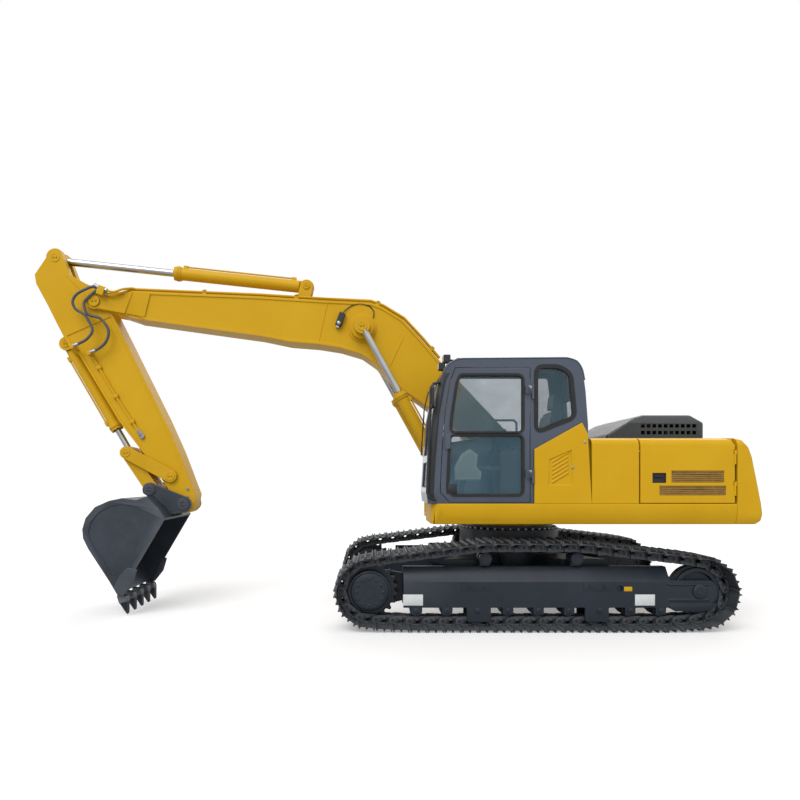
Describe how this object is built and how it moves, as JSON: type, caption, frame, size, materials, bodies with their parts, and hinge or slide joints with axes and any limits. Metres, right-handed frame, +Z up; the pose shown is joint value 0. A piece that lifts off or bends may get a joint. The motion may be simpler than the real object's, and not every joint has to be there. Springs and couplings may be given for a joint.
{
  "type": "crawler excavator",
  "caption": "Hydraulic crawler excavator with slewing upper structure, hollow cab, opening doors and hood, jointed boom, arm and bucket moved by cylinders, on steel tracks.",
  "frame": {"origin": "on the ground, in the middle plane, under the middle of the overall length", "axes": "+X forward along the boom, +Y to the machine's left where the cab stands, +Z up; the slew axis stands on the X axis behind the origin"},
  "size_m": [9.1276, 2.98, 4.7104],
  "materials": {
    "yellow_paint": "gloss",
    "dark_paint": "satin",
    "track_steel": "satin",
    "cab_paint": "gloss",
    "grey_paint": "satin",
    "chrome_rod": "polished",
    "glass": "clear",
    "black_parts": "satin",
    "hose_rubber": "matte",
    "seat_fabric": "matte",
    "black_plastic": "matte"
  },
  "bodies": {
    "undercarriage": {"lower_frame": "dark_paint", "track_frame_left": "dark_paint", "track_frame_right": "dark_paint", "track_left": "track_steel", "track_right": "track_steel", "final_drive_left": "dark_paint", "final_drive_right": "dark_paint", "idler_left": "track_steel", "idler_right": "track_steel", "rollers_left": "track_steel", "rollers_right": "track_steel"},
    "house": {"deck": "yellow_paint", "counterweight": "yellow_paint", "engine_block": "grey_paint", "side_panel": "yellow_paint", "house_frame": "yellow_paint", "louvre_panel": "yellow_paint", "fuel_tank": "yellow_paint", "oil_tank": "yellow_paint", "tool_box": "yellow_paint", "valve_block": "grey_paint", "handrails": "black_parts", "mirror_head": "black_parts", "cab_lamps": "black_parts", "cab_floor": "cab_paint", "cab_roof": "cab_paint", "cab_left_side": "cab_paint", "cab_right_side": "cab_paint", "cab_front": "cab_paint", "cab_rear_wall": "cab_paint", "cab_glass": "glass", "seat": "seat_fabric", "controls": "black_plastic"},
    "cab_door_body": {"cab_door": "cab_paint", "cab_door_glass": "glass"},
    "service_door_body": {"service_door": "yellow_paint"},
    "pump_door_body": {"pump_door": "yellow_paint"},
    "hood_body": {"hood": "grey_paint"},
    "boom": {"boom": "yellow_paint", "boom_pipes": "black_parts", "boom_lamp": "black_parts", "hose_a": "hose_rubber", "hose_b": "hose_rubber"},
    "boom_barrels": {"boom_cylinders": "yellow_paint"},
    "boom_rods": {"boom_rods": "chrome_rod"},
    "arm": {"arm": "yellow_paint", "arm_pipe": "yellow_paint"},
    "arm_barrel": {"arm_cylinder": "yellow_paint"},
    "arm_rod_body": {"arm_rod": "chrome_rod"},
    "bucket_barrel": {"bucket_cylinder": "yellow_paint"},
    "bucket_rod_body": {"bucket_rod": "chrome_rod"},
    "rocker": {"rocker_links": "yellow_paint"},
    "link": {"bucket_link": "yellow_paint"},
    "bucket": {"bucket": "dark_paint", "bucket_teeth": "track_steel"}
  },
  "joints": [
    {"name": "slew", "type": "hinge", "parent": "undercarriage", "child": "house", "pos_m": [-1.64424, 0, 1.19], "axis": [0, 0, 1], "continuous": true},
    {"name": "boom_lift", "type": "hinge", "parent": "house", "child": "boom", "pos_m": [-1.60424, 0, 2.04], "axis": [0, -1, 0], "range_deg": [-55, 44]},
    {"name": "arm_swing", "type": "hinge", "parent": "boom", "child": "arm", "pos_m": [3.76124, 0, 4.00795], "axis": [0, 1, 0], "range_deg": [-104, 8], "deforming": ["hose_a", "hose_b"]},
    {"name": "bucket_curl", "type": "hinge", "parent": "arm", "child": "bucket", "pos_m": [2.60065, 0, 1.37543], "axis": [0, 1, 0], "range_deg": [-8, 160]},
    {"name": "boom_barrel_tilt", "type": "hinge", "parent": "house", "child": "boom_barrels", "pos_m": [-0.96424, 0, 1.38], "axis": [0, -1, 0], "range_deg": [-52.3, 41.88]},
    {"name": "boom_rod_slide", "type": "slide", "parent": "boom_barrels", "child": "boom_rods", "axis": [0.4831, 0, 0.8756], "range_m": [-0.7389, 0.5916]},
    {"name": "arm_barrel_tilt", "type": "hinge", "parent": "boom", "child": "arm_barrel", "pos_m": [1.0268, 0, 4.24377], "axis": [0, -1, 0], "range_deg": [-0.47, 3.72]},
    {"name": "arm_rod_slide", "type": "slide", "parent": "arm_barrel", "child": "arm_rod_body", "axis": [0.9943, 0, 0.1063], "range_m": [-1.2727, 0.0997]},
    {"name": "bucket_barrel_tilt", "type": "hinge", "parent": "arm", "child": "bucket_barrel", "pos_m": [4.19362, 0, 3.484], "axis": [0, -1, 0], "range_deg": [-0.46, 5.46]},
    {"name": "bucket_rod_slide", "type": "slide", "parent": "bucket_barrel", "child": "bucket_rod_body", "axis": [-0.5013, 0, -0.8653], "range_m": [-0.0582, 1.1255]},
    {"name": "rocker_turn", "type": "hinge", "parent": "arm", "child": "rocker", "pos_m": [2.78698, 0, 1.74354], "axis": [0, 1, 0], "range_deg": [-6.17, 119.7]},
    {"name": "link_turn", "type": "hinge", "parent": "bucket", "child": "link", "pos_m": [3.03291, 0, 1.56248], "axis": [0, -1, 0], "range_deg": [-6.01, 116.47]},
    {"name": "cab_door_swing", "type": "hinge", "parent": "house", "child": "cab_door_body", "pos_m": [-1.64624, 1.361, 1.7], "axis": [0, 0, 1], "range_deg": [0, 165]},
    {"name": "service_door_swing", "type": "hinge", "parent": "house", "child": "service_door_body", "pos_m": [-3.92724, 1.35, 1.6], "axis": [0, 0, 1], "range_deg": [0, 100]},
    {"name": "pump_door_swing", "type": "hinge", "parent": "house", "child": "pump_door_body", "pos_m": [-3.92724, -1.35, 1.6], "axis": [0, 0, -1], "range_deg": [0, 100]},
    {"name": "hood_lift", "type": "hinge", "parent": "house", "child": "hood_body", "pos_m": [-3.80824, 0, 2.188], "axis": [0, -1, 0], "range_deg": [0, 65]}
  ],
  "couplings": [
    {"joint": "boom_barrel_tilt", "follows": "boom_lift", "ratio": 0.9379},
    {"joint": "boom_rod_slide", "follows": "boom_lift", "m_per_rad": 0.76011},
    {"joint": "arm_barrel_tilt", "follows": "arm_swing", "ratio": -0.03353},
    {"joint": "arm_rod_slide", "follows": "arm_swing", "m_per_rad": 0.69315},
    {"joint": "bucket_barrel_tilt", "follows": "bucket_curl", "ratio": 0.03257},
    {"joint": "bucket_rod_slide", "follows": "bucket_curl", "m_per_rad": 0.39835},
    {"joint": "rocker_turn", "follows": "bucket_curl", "ratio": 0.7395},
    {"joint": "link_turn", "follows": "bucket_curl", "ratio": 0.7195}
  ]
}
